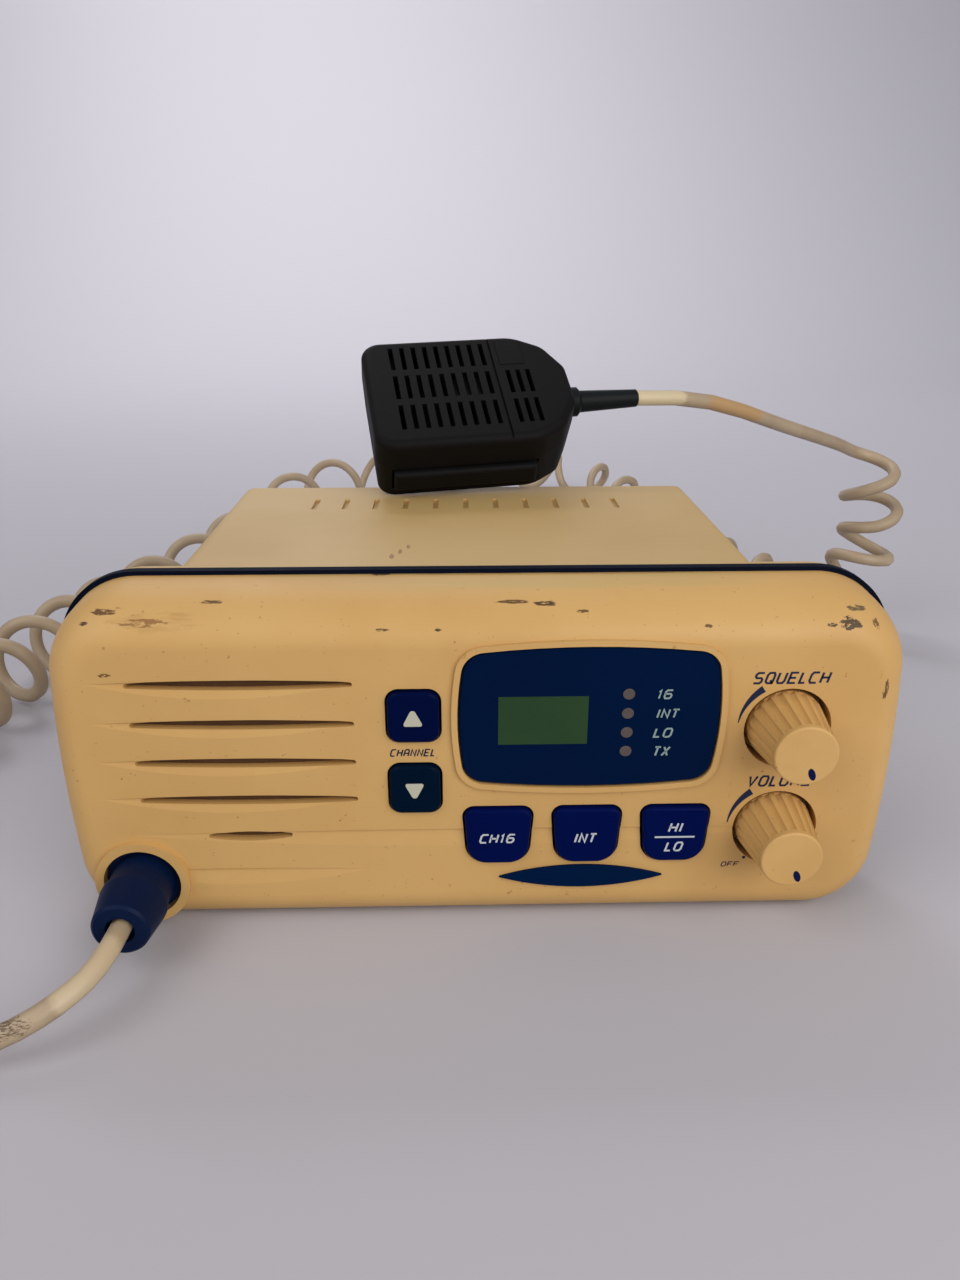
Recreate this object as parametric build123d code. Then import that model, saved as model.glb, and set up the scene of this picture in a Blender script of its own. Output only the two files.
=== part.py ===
from build123d import *
import math
import os

# Marine VHF radio with a fist microphone on a curly cord. Sizes are in millimetres.
# X runs right, Y runs back from the face plane, Z runs up from the surface the radio stands on.

# Clearances
seat_gap = 0.3           # between pieces that rest on or sit in one another
moving_gap = 0.5         # around a key or a bar that slides in a hole
shaft_gap = 0.05         # radial, a shaft that turns in its bush
press_gap = 0.05         # radial, an insert or a shaft pushed into its bore

# Front housing
housing_half_width = 94.4
housing_height = 80.4
housing_bulge = 2.1      # how much the sides swell at mid height
housing_depth = 18.0
housing_wall = 2.4
corner_low = 16.0
corner_high = 18.0
face_inset_side = 7.0    # from the widest outline to the flat face
face_inset_low = 8.0
face_inset_high = 10.8
round_depth_side = 10.0  # how far back the rounding of the front edge reaches
round_depth_low = 9.0

# Seal and rear case
seal_thickness = 2.4
seal_proud = 1.0
seal_width = 4.0
flange_thickness = 4.5
case_x = -2.2            # the case's middle, a little left of the front's
case_half_width = 67.3
case_drop = 0.3          # how far the case's top lies below the front's
case_back = 103.0
case_wall = 2.4
case_corner = 3.6
vent_count = 11
vent_pitch = 8.5
vent_width = 1.5
vent_length = 11.0
vent_depth = 0.9         # the vents are only moulded in, closed below
vent_inset = 15.0        # from the rear edge to the slots' rear ends
boss_radius = 3.6

# Speaker grille
speaker_x = -51.5
speaker_low = 20.5       # from the base up to the basket's rim
speaker_top_inset = 13.9
groove_pitch = 9.35
groove_top_z = 61.65
groove_left = -86.8
groove_right = -23.4
groove_wide_right = 78.0  # the fifth groove runs on behind the keys
groove_height = 4.4      # from the sharp upper edge down to where the slope runs out
groove_depth = 1.1
groove_arch = 0.75       # how far the upper edge bows up
wide_groove_depth = 0.6
low_groove_z = 14.4
low_groove_depth = 0.7
slot_left = -75.6
slot_right = -27.3
slot_count = 4
slot_height = 2.5
slot_blunt = 0.5         # half the height of a slot's round ends
short_slot_left = -61.4
short_slot_right = -42.6
short_slot_height = 2.5

# Display
lens_x = 23.55
lens_z = 53.2
lens_half_width = 28.3
lens_half_height = 16.7
lens_bow = 1.6           # how far each side of the lens swells
lens_corner = 5.0
lens_thickness = 2.2
lens_recess = 1.9
lens_ledge = 3.0
surround_width = 1.6
surround_proud = 0.8
lcd_x = 13.75
lcd_z = 51.9
lcd_width = 24.0
lcd_height = 17.0
lcd_thickness = 2.8
led_x = 32.0
led_top_z = 58.4
led_pitch = 4.57
led_count = 4
led_radius = 1.3
led_length = 5.0

# Keys
key_travel = 1.2
key_proud = 1.3
key_round = 0.8
channel_key_width = 11.2
channel_key_height = 11.9
channel_key_corner = 2.5
channel_key_x = -14.5
channel_up_z = 54.1
channel_down_z = 36.3
function_key_top = 15.5
function_key_bottom = 13.4
function_key_height = 14.2
function_key_x = 3.95
function_key_pitch = 20.1
function_key_z = 23.8
key_flange = 1.3
key_flange_thickness = 1.2
key_stem_radius = 3.0
mat_thickness = 1.2
mat_ring_wall = 1.2
mat_ring_height = 2.2

# Knobs
squelch_x = 67.2
squelch_z = 50.1
volume_x = 67.2
volume_z = 24.7
well_radius = 9.6
well_depth = 7.0
well_wall = 1.6
knob_base_radius = 8.5
knob_top_radius = 6.8
knob_collar = 4.2        # plain band at the knob's back
knob_proud = 12.8
knob_cap = 1.4
knob_back_gap = 1.6
flute_count = 20
flute_radius = 0.8
shaft_radius = 3.0
shaft_into_knob = 12.0
bush_radius = 3.7
pot_radius = 8.0
pot_depth = 7.0
pointer_angle = 290.0    # where the pointer stands on the cap, from +X towards +Z
pointer_long = 3.0
pointer_short = 1.5
pointer_inset = 2.3
pointer_thickness = 0.3

# Badge plate
badge_x = 23.2
badge_z = 12.6
badge_half_width = 18.9
badge_half_height = 2.9
badge_thickness = 0.7

# Cord outlet
outlet_x = -77.4
outlet_z = 12.6
collar_radius = 10.7
collar_bore = 8.75
collar_proud = 1.4
collar_depth = 4.6
outlet_floor = 2.4       # depth of the bore that takes the boot's front flange
boot_reach = 17.7
boot_base_radius = 7.2
boot_ring_radius = 7.5
boot_tip_radius = 6.3
boot_neck_radius = 5.6
boot_flange_thickness = 1.6
boot_mouth_radius = 3.2   # the cord comes out of a shallow bore in the boot's end
boot_mouth_depth = 2.4
cord_diameter = 4.7
coil_diameter = 25.0

# Inside
cloth_thickness = 0.4
cloth_side_inset = 17.4  # from the housing's side and top in to the cloth
cloth_top_inset = 14.9
cloth_right = -26.0
cloth_low = 21.5
speaker_rim = 2.0
cone_margin = 3.5        # how far the cone stays inside the basket's rim
dust_cap_radius = 7.0
cone_depth = 7.0
basket_depth = 8.5
magnet_radius = 13.0
magnet_depth = 8.0
board_thickness = 1.6
front_board_left = -24.0
front_board_low = 8.0
front_board_side_inset = 17.4
front_board_top_inset = 12.4
main_board_z = 17.0
main_board_half_width = 58.0
main_board_front = 34.0
board_screw_inset = 5.0
board_screw_back = 8.0   # from the screws to the ledge that the rear plate seats on
shield_inset = 8.0
shield_width = 70.0
shield_depth = 40.0
shield_height = 16.0
shield_wall = 0.6
screw_radius = 1.5
screw_head_radius = 2.8
screw_head = 1.8
screw_length = 8.0
side_screw_inset = 10.4
end_screw_inset = 12.4
top_screw_drop = 14.4

# Rear panel
sink_plate = 3.0
sink_rim = 1.2           # how far the case's rim stands round the plate
sink_lip = 2.6           # width of the ledge behind which the plate seats
sink_lip_depth = 4.0
sink_screw_inset = 6.5
fin_count = 9
fin_pitch = 6.5
fin_thickness = 1.8
fin_depth = 9.0
fin_margin = 5.0
module_width = 40.0
module_depth = 13.0
module_height = 9.0
antenna_x = 44.0
antenna_z = 44.0
antenna_flange = 25.4
antenna_flange_thickness = 2.0
antenna_radius = 7.9
antenna_length = 14.0
antenna_bore = 6.0
antenna_bore_depth = 9.0
contact_radius = 3.2
contact_bore = 2.0
rear_port_x = -44.0
grommet_z = 33.0
grommet_radius = 6.0
grommet_neck = 5.0
grommet_bore = 3.4
jack_z = 56.0
jack_radius = 4.0
jack_bore = 1.8
jack_length = 9.0
insert_y = 62.0
insert_z = 42.0
insert_radius = 4.5
insert_bore = 2.1
insert_length = 9.0

# Microphone, in its own frame: length along X towards the cord, width along Y, thickness along Z
mic_length = 61.0
mic_width = 46.0
mic_thickness = 20.0
mic_split = 11.5
mic_shoulder = 47.0
mic_cheek_x = 56.0       # where the shoulder's slope turns into the nose's
mic_cheek_y = 5.5
mic_corner_round = 6.0
mic_shoulder_round = 12.0
mic_cheek_round = 8.0
mic_nose_round = 5.0
mic_nose_width = 15.0
mic_back_inset = 0.8
mic_wall = 1.8
mic_edge = 2.4
mic_yaw = 10.5
mic_tilt = 32.0
mic_roll = 2.2
mic_x = -28.0
mic_y = 91.0
grille_left = 8.1
grille_low = 6.2
grille_pitch = 3.45
grille_columns = 9
grille_rows = 3
grille_slot = 1.4
grille_segment = 10.2
grille_gap = 2.7
side_grille_left = 42.0
side_grille_pitch = 3.0
side_grille_columns = 3
split_line_x = 38.6
split_line_width = 0.7
split_line_depth = 0.9
panel_width = 7.6
panel_height = 10.4
panel_thickness = 0.8
ptt_left = 5.0
ptt_length = 42.0
ptt_low = 3.4
ptt_height = 6.6
ptt_proud = 1.8
ptt_travel = 1.4
ptt_stem = 4.0
ptt_flange_y = 4.6       # where the bar's inner flange starts, behind the shell's wall
ptt_flange = 1.2
ptt_switch_y = 9.7
stud_place = (25.0, 24.0)
stud_radius = 5.0
stud_neck = 2.6
stud_height = 4.5
stud_head = 1.8
relief_length = 22.0
relief_base = 4.4
relief_root = 3.3
relief_tip = 2.65
relief_neck = 3.0
relief_seat = 8.0        # how far the relief's bore reaches into the shells
capsule_radius = 4.9
capsule_height = 4.0
capsule_place = (30.0, 26.0)
mic_board_z = 8.0
mic_board_thickness = 1.2
mic_board_span = (12.0, 45.0)
mic_board_posts = [(16.0, 30.0), (41.0, 30.0)]
mic_screw = 1.2
mic_screw_head = 2.2
mic_screw_sink = 1.4
mic_boss = 3.2
mic_screw_places = [(8.0, 38.0), (50.0, 34.0), (50.0, 12.0)]

# Derived places
case_top = housing_height - case_drop
speaker_radius = (housing_height - speaker_top_inset - speaker_low) / 2
speaker_z = speaker_low + speaker_radius
cone_radius = speaker_radius - cone_margin
cloth_left = cloth_side_inset - housing_half_width
cloth_high = housing_height - cloth_top_inset
front_board_right = housing_half_width - front_board_side_inset
front_board_high = housing_height - front_board_top_inset
short_slot_z = groove_top_z - slot_count * groove_pitch
seal_back = housing_depth + seal_thickness
flange_back = seal_back + flange_thickness
pot_front = well_depth + well_wall + seat_gap
board_front = pot_front + pot_depth
board_back = board_front + board_thickness
key_stop = housing_wall + seat_gap
mat_front = board_front - mat_thickness
sink_front = case_back - sink_plate
lip_front = sink_front - sink_lip_depth
sink_screw_reach = case_half_width - sink_screw_inset
sink_screws = [(x, z) for x in (case_x - sink_screw_reach, case_x + sink_screw_reach)
               for z in (sink_screw_inset, case_top - sink_screw_inset)]


# Front-view sketches are drawn in X and Z and pushed back along Y.
def slab(sketch, front, back):
    return Pos(0, front, 0) * extrude(Plane.XZ * sketch, amount=front - back)


def turned(points, x=0.0, z=0.0):
    return Pos(x, 0, z) * revolve(make_face(Polyline(*points, close=True)), Axis.Y)


def rod(radius, front, back, x, z):
    return slab(Pos(x, z) * Circle(radius), front, back)


def upright(radius, low, high, x, y):
    return Pos(x, y, low) * Cylinder(radius, high - low, align=(Align.CENTER, Align.CENTER, Align.MIN))


# A rod that runs in from the case's side wall, where the bracket's screws go.
def side_rod(radius, side, length):
    start = Pos(case_x + side * case_half_width, insert_y, insert_z) * Rot(0, -90 * side, 0)
    return start * Cylinder(radius, length, align=(Align.CENTER, Align.CENTER, Align.MIN))


def block(x0, x1, y0, y1, z0, z1):
    return Pos(x0, y0, z0) * Box(x1 - x0, y1 - y0, z1 - z0, align=(Align.MIN,) * 3)


def ellipse_inset(inset, depth, y):
    lean = max(0.0, 1 - y / depth)
    return inset * (1 - math.sqrt(1 - lean**2))


def corner_pairs(face, low_radius, high_radius):
    face = fillet(face.vertices().group_by(Axis.Y)[0], low_radius)
    return fillet(face.vertices().group_by(Axis.Y)[-1], high_radius)


def housing_outline(side=0.0, low=0.0, high=0.0):
    half = housing_half_width - side
    shoulder = half - housing_bulge
    top = housing_height - high
    middle = (low + top) / 2
    edges = [
        Line((-shoulder, low), (shoulder, low)),
        ThreePointArc((shoulder, low), (half, middle), (shoulder, top)),
        Line((shoulder, top), (-shoulder, top)),
        ThreePointArc((-shoulder, top), (-half, middle), (-shoulder, low)),
    ]
    return corner_pairs(make_face(edges), corner_low - 0.8 * low, corner_high - 0.7 * high)


# The housing's outside or inside as a loft, with every section drawn in by the wall.
def housing_form(wall, back):
    stations = [0.0, 0.7, 3.0, 7.5, 12.5, back]
    sections = []
    for y in stations:
        side = wall + ellipse_inset(face_inset_side, round_depth_side, y)
        low = wall + ellipse_inset(face_inset_low, round_depth_low, y)
        high = wall + ellipse_inset(face_inset_high, housing_depth, y)
        sections.append(Pos(0, wall + y, 0) * (Plane.XZ * housing_outline(side, low, high)))
    return loft(sections)


def lens_outline(grow=0.0):
    half = lens_half_width - lens_bow
    tall = lens_half_height - lens_bow
    edges = [
        ThreePointArc((-half, -tall), (0, -lens_half_height), (half, -tall)),
        ThreePointArc((half, -tall), (lens_half_width, 0), (half, tall)),
        ThreePointArc((half, tall), (0, lens_half_height), (-half, tall)),
        ThreePointArc((-half, tall), (-lens_half_width, 0), (-half, -tall)),
    ]
    face = make_face(edges)
    face = fillet(face.vertices(), lens_corner)
    return Pos(lens_x, lens_z) * (offset(face, grow) if grow else face)


# A slim lens with small round ends.
def slot_outline(left, right, z, height):
    start = left + slot_blunt
    end = right - slot_blunt
    middle = (left + right) / 2
    sides = [
        ThreePointArc((start, z + slot_blunt), (middle, z + height / 2), (end, z + slot_blunt)),
        ThreePointArc((end, z + slot_blunt), (right, z), (end, z - slot_blunt)),
        ThreePointArc((end, z - slot_blunt), (middle, z - height / 2), (start, z - slot_blunt)),
        ThreePointArc((start, z - slot_blunt), (left, z), (start, z + slot_blunt)),
    ]
    return make_face(sides)


# A louvre groove: sharp along its arched upper edge, and a slope that runs out below and at both ends.
def groove(left, right, upper, depth):
    reach = (right - left) / 2
    middle = (left + right) / 2
    radius = reach**2 / (2 * depth)
    lean = math.degrees(math.atan2(depth, groove_height))
    drum = Rot(-lean, 0, 0) * Pos(0, -radius, 0) * Cylinder(radius, 4 * groove_height)
    low = upper - 1.5 * groove_height
    edges = [
        ThreePointArc((left, upper - groove_arch), (middle, upper), (right, upper - groove_arch)),
        Line((right, upper - groove_arch), (right, low)),
        Line((right, low), (left, low)),
        Line((left, low), (left, upper - groove_arch)),
    ]
    return slab(make_face(edges), -1, 2 * depth) & (Pos(middle, depth, upper) * drum)


def channel_outline():
    return RectangleRounded(channel_key_width, channel_key_height, channel_key_corner)


def function_outline():
    top = function_key_top / 2
    low = function_key_bottom / 2
    tall = function_key_height / 2
    face = make_face(Polyline((-low, -tall), (low, -tall), (top, tall), (-top, tall), close=True))
    return corner_pairs(face, 4.6, 2.2)


keys = {
    "channel_up_button": (channel_key_x, channel_up_z, channel_outline()),
    "channel_down_button": (channel_key_x, channel_down_z, channel_outline()),
    "distress_channel_button": (function_key_x, function_key_z, function_outline()),
    "international_button": (function_key_x + function_key_pitch, function_key_z, function_outline()),
    "high_low_button": (function_key_x + 2 * function_key_pitch, function_key_z, function_outline()),
}
knobs = {"squelch": (squelch_x, squelch_z), "volume": (volume_x, volume_z)}
side_screw = housing_half_width - side_screw_inset
end_screw = housing_half_width - end_screw_inset
top_screw_z = housing_height - top_screw_drop
housing_screws = [(-side_screw, 0.373 * housing_height), (-end_screw, top_screw_z),
                  (end_screw, 0.187 * housing_height), (end_screw, top_screw_z)]


def front_bezel():
    body = housing_form(0, housing_depth) - housing_form(housing_wall, housing_depth)
    body &= block(-housing_half_width, housing_half_width, -1, housing_depth, 0, housing_height)
    for i in range(slot_count):
        z = groove_top_z - i * groove_pitch
        body -= groove(groove_left, groove_right, z + slot_height / 2, groove_depth)
    body -= groove(groove_left, groove_wide_right, short_slot_z + short_slot_height / 2, wide_groove_depth)
    body -= groove(groove_left, groove_right, low_groove_z + slot_height / 2, low_groove_depth)
    body += slab(lens_outline(surround_width), -surround_proud, housing_wall / 2)
    body += rod(collar_radius, -collar_proud, collar_depth, outlet_x, outlet_z)
    for x, z in knobs.values():
        body += rod(well_radius + well_wall, housing_wall / 2, well_depth + well_wall, x, z)
    for x, z in housing_screws:
        post = rod(boss_radius, housing_wall / 2, housing_depth - seat_gap, x, z)
        body += post & housing_form(0, housing_depth)
    for i in range(slot_count):
        outline = slot_outline(slot_left, slot_right, groove_top_z - i * groove_pitch, slot_height)
        body -= slab(outline, -2, 4)
    body -= slab(slot_outline(short_slot_left, short_slot_right, short_slot_z, short_slot_height), -2, 4)
    body -= slab(lens_outline(seat_gap), -2, lens_recess)
    body -= slab(lens_outline(-lens_ledge), -2, housing_wall + 1)
    for x, z, sketch in keys.values():
        body -= slab(Pos(x, z) * offset(sketch, moving_gap), -2, housing_wall + 1)
    for x, z in knobs.values():
        body -= rod(well_radius, -2, well_depth, x, z)
        body -= rod(bush_radius + 0.2, -2, pot_front + 1, x, z)
    body -= rod(collar_bore, -5, outlet_floor, outlet_x, outlet_z)
    body -= rod(boot_neck_radius + seat_gap, -5, collar_depth + 1, outlet_x, outlet_z)
    for x, z in housing_screws:
        body -= rod(screw_radius + press_gap, housing_depth - screw_length, housing_depth + 1, x, z)
    return body


def flange_ring(grow, width, front, back):
    outer = housing_outline(-grow, -grow, -grow)
    inner = housing_outline(width, width, width)
    return slab(outer, front, back) - slab(inner, front - 1, back + 1)


def screw_passages():
    holes = [rod(screw_radius + 0.3, housing_depth - 1, flange_back + 1, x, z) for x, z in housing_screws]
    return Part() + holes


def bezel_gasket():
    ring = flange_ring(seal_proud, seal_width, housing_depth, seal_back)
    reach = housing_half_width + seal_proud
    ring &= block(-reach, reach, housing_depth, seal_back, 0, housing_height + seal_proud)
    return ring


def case_outline(inset=0.0):
    tall = case_top / 2
    shape = RectangleRounded(2 * (case_half_width - inset), 2 * (tall - inset), case_corner - inset / 2)
    return Pos(case_x, tall) * shape


def rear_case():
    body = slab(housing_outline(), seal_back, flange_back)
    body += slab(case_outline(), seal_back, case_back)
    body -= slab(case_outline(case_wall), seal_back - 1, lip_front)
    body -= slab(case_outline(case_wall + sink_lip), seal_back - 1, case_back + 1)
    inside = slab(case_outline(case_wall / 2), flange_back, sink_front)
    for x, z in sink_screws:
        body += rod(boss_radius, sink_front - screw_length - 2, sink_front, x, z) & inside
    body -= slab(case_outline(case_wall + sink_rim), sink_front, case_back + 1)
    for x, z in sink_screws:
        body -= rod(screw_radius + press_gap, sink_front - screw_length, sink_front + 1, x, z)
    for side in (-1, 1):
        body += side_rod(insert_radius + 2, side, insert_length + 1) & inside
        body -= side_rod(insert_radius + press_gap, side, insert_length + seat_gap)
    for x, y in main_board_screws():
        body += upright(boss_radius, case_wall / 2, main_board_z, x, y)
        body -= upright(screw_radius + press_gap, main_board_z - screw_length, main_board_z + 1, x, y)
    for i in range(vent_count):
        x = case_x + (i - (vent_count - 1) / 2) * vent_pitch
        y1 = case_back - vent_inset
        body -= block(x - vent_width / 2, x + vent_width / 2, y1 - vent_length, y1,
                      case_top - vent_depth, case_top + 1)
    body -= screw_passages()
    return body


def main_board_screws():
    near = main_board_front + board_screw_inset
    far = lip_front - board_screw_back
    half = main_board_half_width - board_screw_inset
    return [(x, y) for x in (case_x - half, case_x + half) for y in (near, far)]


def display_lens():
    window = slab(lens_outline(), lens_recess - seat_gap - lens_thickness, lens_recess - seat_gap)
    return chamfer(window.faces().sort_by(Axis.Y)[0].edges(), 0.4)


def lcd_module():
    front = housing_wall + seat_gap
    return block(lcd_x - lcd_width / 2, lcd_x + lcd_width / 2, front, front + lcd_thickness,
                 lcd_z - lcd_height / 2, lcd_z + lcd_height / 2)


def lcd_holder():
    front = housing_wall + seat_gap + lcd_thickness
    frame = slab(Pos(lcd_x, lcd_z) * Rectangle(lcd_width, lcd_height), front, board_front)
    hollow = Rectangle(lcd_width - 4, lcd_height - 4)
    return frame - slab(Pos(lcd_x, lcd_z) * hollow, front - 1, board_front + 1)


def led_indicators():
    front = housing_wall + seat_gap
    lamps = []
    for i in range(led_count):
        z = led_top_z - i * led_pitch
        lamp = rod(led_radius, front, front + led_length, led_x, z)
        lamp += rod(led_radius + 0.3, front + led_length - 1, front + led_length, led_x, z)
        for x in (led_x - 0.7, led_x + 0.7):
            lamp += block(x - 0.25, x + 0.25, front + led_length, board_front, z - 0.25, z + 0.25)
        lamps.append(lamp)
    return Part() + lamps


def key_cap(x, z, sketch):
    cap = slab(sketch, -key_proud, key_stop)
    cap = fillet(cap.faces().sort_by(Axis.Y)[0].edges(), key_round)
    cap += slab(offset(sketch, key_flange), key_stop, key_stop + key_flange_thickness)
    cap += rod(key_stem_radius, key_stop, board_front - key_travel - seat_gap, 0, 0)
    return Pos(x, 0, z) * cap


def keypad_mat():
    left = channel_key_x - channel_key_width / 2 - 2
    right = function_key_x + 2 * function_key_pitch + function_key_top / 2 + 2
    upper = channel_up_z + channel_key_height / 2
    middle = function_key_z + function_key_height / 2 + 2
    corner = channel_key_x + channel_key_width / 2 + 1
    low = function_key_z - function_key_height / 2
    sheet = Polyline((left, low), (right, low), (right, middle), (corner, middle),
                     (corner, upper), (left, upper), close=True)
    mat = slab(make_face(sheet), mat_front, board_front)
    for x, z, _ in keys.values():
        mat += rod(key_stem_radius + seat_gap + mat_ring_wall, mat_front - mat_ring_height, mat_front, x, z)
        mat -= rod(key_stem_radius + seat_gap, mat_front - mat_ring_height - 1, board_front + 1, x, z)
    return mat


def knob(x, z):
    collar_front = knob_back() - knob_collar
    crown = -knob_proud + knob_cap
    points = [(0, knob_back()), (knob_base_radius, knob_back()), (knob_base_radius, collar_front),
              (knob_top_radius, crown), (knob_top_radius, -knob_proud), (0, -knob_proud)]
    body = turned(points)
    body = fillet(body.edges().group_by(Axis.Y)[0], 0.5)
    lean = math.degrees(math.atan2(knob_base_radius - knob_top_radius, collar_front - crown))
    span = collar_front - crown
    middle = (knob_base_radius + knob_top_radius) / 2 + 0.25 * flute_radius
    flute = Rot(-90, 0, 0) * Cylinder(flute_radius, span)
    flute = Pos(middle, (collar_front + crown) / 2, 0) * Rot(0, 0, -lean) * flute
    body -= [Rot(0, 360 * i / flute_count, 0) * flute for i in range(flute_count)]
    body -= rod(shaft_radius + press_gap, shaft_front() - press_gap, knob_back() + 1, 0, 0)
    body -= pointer_inlay(0, 0)
    return Pos(x, 0, z) * body


def knob_back():
    return well_depth - knob_back_gap


def shaft_front():
    return knob_back() - shaft_into_knob


def pointer_inlay(x, z):
    reach = knob_top_radius - pointer_inset
    spot = Rot(0, 0, pointer_angle) * Pos(reach, 0) * Ellipse(pointer_long / 2, pointer_short / 2)
    return Pos(x, 0, z) * slab(spot, -knob_proud, -knob_proud + pointer_thickness)


def pot_body(x, z):
    body = rod(pot_radius, pot_front, board_front, x, z)
    body += rod(bush_radius, knob_back() + 0.6, pot_front, x, z)
    return body - rod(shaft_radius + shaft_gap, 0, board_front - 1.5, x, z)


def pot_shaft(x, z):
    return rod(shaft_radius, shaft_front(), board_front - 1.5 - seat_gap, x, z)


def oval_badge():
    left = badge_x - badge_half_width
    right = badge_x + badge_half_width
    sides = [
        ThreePointArc((left, badge_z), (badge_x, badge_z + badge_half_height), (right, badge_z)),
        ThreePointArc((right, badge_z), (badge_x, badge_z - badge_half_height), (left, badge_z)),
    ]
    return slab(make_face(sides), -badge_thickness, 0)


def cord_boot():
    flange_back_y = outlet_floor - seat_gap
    flange_front = flange_back_y - boot_flange_thickness
    step = -boot_reach * 0.42
    inner = collar_depth + seat_gap
    points = [(0, -boot_reach), (boot_tip_radius - 0.6, -boot_reach), (boot_tip_radius, -boot_reach + 0.6),
              (boot_ring_radius, step - 1.2), (boot_ring_radius, step), (boot_base_radius - 0.3, step + 0.8),
              (boot_base_radius, flange_front), (collar_bore - seat_gap, flange_front),
              (collar_bore - seat_gap, flange_back_y), (boot_neck_radius, flange_back_y),
              (boot_neck_radius, inner), (boot_neck_radius + 1.6, inner),
              (boot_neck_radius + 1.6, inner + 1.8), (0, inner + 1.8)]
    boot = turned(points, outlet_x, outlet_z)
    return boot - rod(boot_mouth_radius, -boot_reach - 1, boot_mouth_depth - boot_reach, outlet_x, outlet_z)


def front_board():
    return block(front_board_left, front_board_right, board_front, board_back,
                 front_board_low, front_board_high)


def speaker_nodes():
    cloth_front = housing_wall + 0.1
    rim_front = cloth_front + cloth_thickness + 0.1
    rim_back = rim_front + speaker_rim
    sheet = RectangleRounded(cloth_right - cloth_left, cloth_high - cloth_low, corner_low / 2)
    sheet = Pos((cloth_left + cloth_right) / 2, (cloth_low + cloth_high) / 2) * sheet
    cloth = slab(sheet, cloth_front, cloth_front + cloth_thickness)
    back = rim_back + basket_depth
    frame = turned([(cone_radius, rim_front), (speaker_radius, rim_front), (speaker_radius, rim_back),
                    (magnet_radius, back), (magnet_radius - 6, back), (magnet_radius - 6, back - 1),
                    (magnet_radius - 1, back - 1), (cone_radius, rim_back - 0.5)], speaker_x, speaker_z)
    cone = turned([(cone_radius - seat_gap, rim_front + 0.6), (cone_radius - seat_gap, rim_front + 1.0),
                   (dust_cap_radius, rim_front + cone_depth), (0, rim_front + cone_depth - 1.2),
                   (0, rim_front + cone_depth - 1.6), (dust_cap_radius, rim_front + cone_depth - 0.8)],
                  speaker_x, speaker_z)
    magnet = rod(magnet_radius, back, back + magnet_depth, speaker_x, speaker_z)
    return {"speaker_cloth": cloth, "speaker_frame": frame, "speaker_cone": cone, "speaker_magnet": magnet}


def screws(places, seat, reach):
    made = []
    for x, z in places:
        screw = rod(screw_head_radius, seat, seat + screw_head, x, z)
        screw += rod(screw_radius, seat - reach, seat, x, z)
        made.append(screw - rod(screw_radius - 0.4, seat + screw_head / 2, seat + screw_head + 1, x, z))
    return Part() + made


def board_screws():
    seat = main_board_z + board_thickness
    made = []
    for x, y in main_board_screws():
        screw = upright(screw_head_radius, seat, seat + screw_head, x, y)
        made.append(screw + upright(screw_radius, seat - screw_length + 1, seat, x, y))
    return Part() + made


def main_board():
    left = case_x - main_board_half_width
    right = case_x + main_board_half_width
    plate = block(left, right, main_board_front, lip_front, main_board_z, main_board_z + board_thickness)
    for x, y in main_board_screws():
        plate -= upright(screw_radius + 0.2, main_board_z - 1, main_board_z + 5, x, y)
    return plate


def shield_can():
    left = case_x - shield_width / 2
    right = case_x + shield_width / 2
    low = main_board_z + board_thickness
    front = main_board_front + shield_inset
    can = block(left, right, front, front + shield_depth, low, low + shield_height)
    wall = shield_wall
    return can - block(left + wall, right - wall, front + wall, front + shield_depth - wall,
                       low - 1, low + shield_height - wall)


def power_module():
    left = case_x - module_width / 2
    right = case_x + module_width / 2
    low = main_board_z + board_thickness
    return block(left, right, sink_front - module_depth, sink_front, low, low + module_height)


def heat_sink():
    inset = case_wall + sink_rim + seat_gap
    plate = slab(case_outline(inset), sink_front, case_back)
    for i in range(fin_count):
        x = case_x + (i - (fin_count - 1) / 2) * fin_pitch
        plate += block(x - fin_thickness / 2, x + fin_thickness / 2, case_back, case_back + fin_depth,
                       inset + fin_margin, case_top - inset - fin_margin)
    for x, z, radius in [(antenna_x, antenna_z, antenna_radius), (rear_port_x, grommet_z, grommet_neck),
                         (rear_port_x, jack_z, jack_radius)]:
        plate -= rod(radius + press_gap, sink_front - 1, case_back + 1, x, z)
    for x, z in sink_screws:
        plate -= rod(screw_radius + 0.2, sink_front - 1, case_back + 1, x, z)
    return plate


def antenna_socket():
    mouth = case_back + antenna_flange_thickness + antenna_length
    flange = Pos(antenna_x, antenna_z) * RectangleRounded(antenna_flange, antenna_flange, 2)
    body = slab(flange, case_back, case_back + antenna_flange_thickness)
    body += rod(antenna_radius, sink_front - 2, mouth, antenna_x, antenna_z)
    body -= rod(antenna_bore, mouth - antenna_bore_depth, mouth + 1, antenna_x, antenna_z)
    return body - rod(contact_radius + press_gap, sink_front - 3, mouth, antenna_x, antenna_z)


def antenna_contact():
    mouth = case_back + antenna_flange_thickness + antenna_length
    pin = rod(contact_radius, sink_front - 3, mouth - 1, antenna_x, antenna_z)
    return pin - rod(contact_bore, mouth - antenna_bore_depth, mouth, antenna_x, antenna_z)


def power_grommet():
    inner = sink_front - seat_gap
    outer = case_back + seat_gap
    return turned([(grommet_bore, inner - 1.5), (grommet_radius, inner - 1.5), (grommet_radius, inner),
                   (grommet_neck, inner), (grommet_neck, outer), (grommet_radius, outer),
                   (grommet_radius - 0.6, outer + 2.2), (grommet_bore, outer + 2.2)], rear_port_x, grommet_z)


def speaker_jack():
    body = rod(jack_radius, case_back - jack_length, case_back, rear_port_x, jack_z)
    body += rod(jack_radius + 1.5, case_back, case_back + 1.6, rear_port_x, jack_z)
    return body - rod(jack_bore, case_back - jack_length + 1.6, case_back + 2, rear_port_x, jack_z)


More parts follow.
